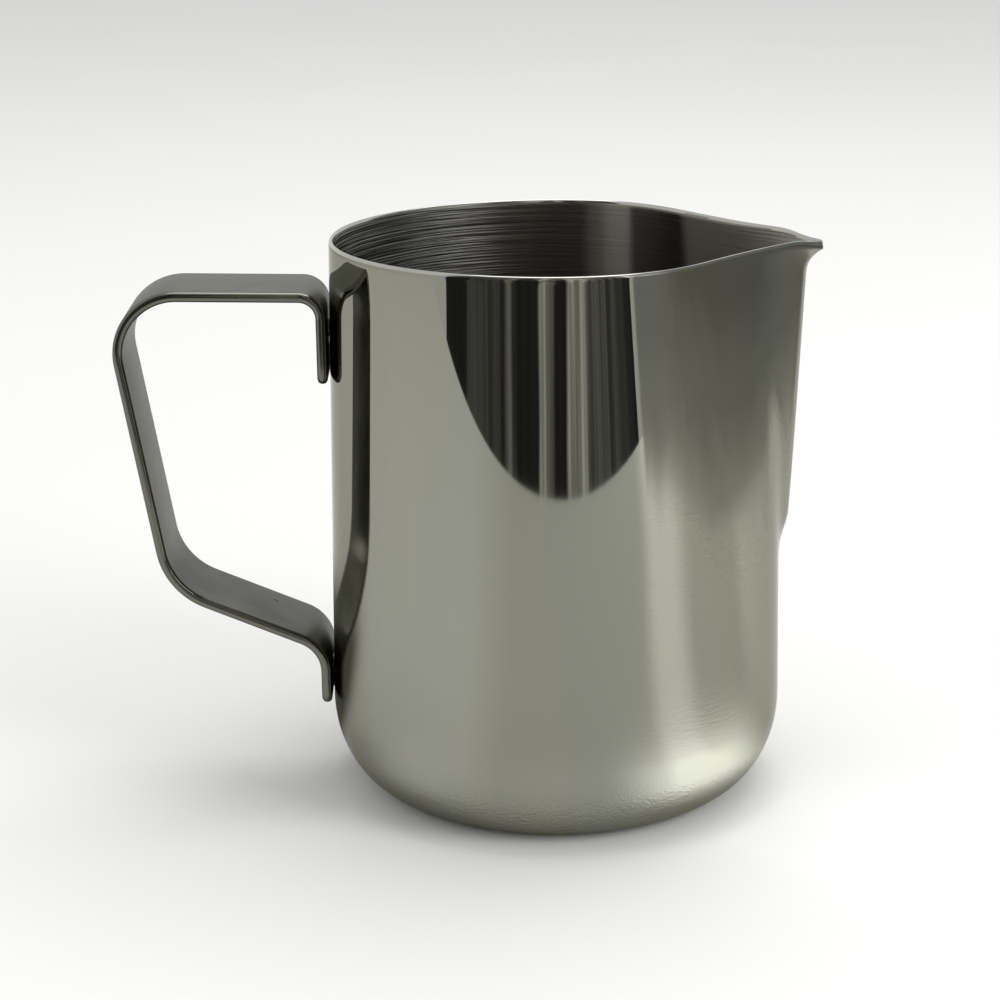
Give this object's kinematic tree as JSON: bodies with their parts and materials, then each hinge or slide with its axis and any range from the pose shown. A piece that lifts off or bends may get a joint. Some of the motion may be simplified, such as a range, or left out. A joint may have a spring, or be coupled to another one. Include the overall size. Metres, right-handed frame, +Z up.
{
  "type": "milk frothing pitcher",
  "caption": "Stainless steel milk frothing pitcher: straight round cup with a pressed pouring spout and a bent strap handle.",
  "frame": {"origin": "centre of the flat ring that the pitcher stands on", "axes": "+Z up along the cup's axis, +X out of the spout with the handle on -X, +Y to the left of the spout"},
  "size_m": [0.1371, 0.09, 0.1105],
  "materials": {
    "cup_steel": "mirror polished above, fading to a fine satin near the base",
    "strap_steel": "tumbled, half gloss, with rounded bright edges",
    "weld_steel": "dull spot weld metal"
  },
  "bodies": {
    "root": {"cup_body": "cup_steel", "handle_strap": "strap_steel", "upper_spot_welds": "weld_steel", "lower_spot_welds": "weld_steel"}
  },
  "joints": []
}
